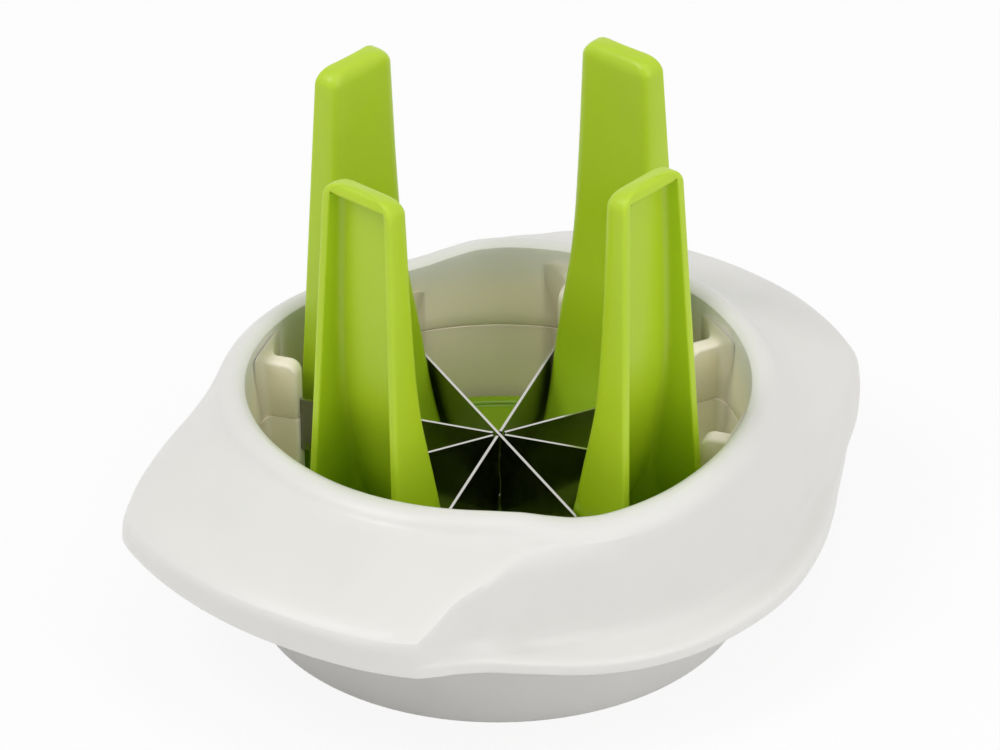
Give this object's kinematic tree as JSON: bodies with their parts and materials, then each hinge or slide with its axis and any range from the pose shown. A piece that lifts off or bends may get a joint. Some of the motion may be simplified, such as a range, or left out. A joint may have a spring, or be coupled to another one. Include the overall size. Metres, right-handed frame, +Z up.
{
  "type": "lemon slicer",
  "caption": "Push-down lemon wedger: holder with tall channel-shaped fingers, and a round ring with crossed blades and two swirled wing handles that slides down over them.",
  "frame": {"origin": "centre of the base circle, on the table", "axes": "+Z up along the slide, +X through the wing tips"},
  "size_m": [0.129, 0.108, 0.0865],
  "materials": {
    "green_plastic": "semi-gloss moulded, slightly translucent yellow-green",
    "white_plastic": "semi-gloss moulded, warm white",
    "blade_steel": "bright rolled stainless strip with a ground lower edge",
    "screw_steel": "plated steel"
  },
  "bodies": {
    "holder": {"holder": "green_plastic"},
    "cutter": {"upper_ring": "white_plastic", "lower_ring": "white_plastic", "blade_a": "blade_steel", "blade_b": "blade_steel", "blade_c": "blade_steel", "blade_d": "blade_steel", "ring_screw_1": "screw_steel", "ring_screw_2": "screw_steel", "ring_screw_3": "screw_steel", "ring_screw_4": "screw_steel"}
  },
  "joints": [
    {"name": "cutter_slide", "type": "slide", "parent": "holder", "child": "cutter", "axis": [0, 0, 1], "range_m": [0, 0.068]}
  ]
}
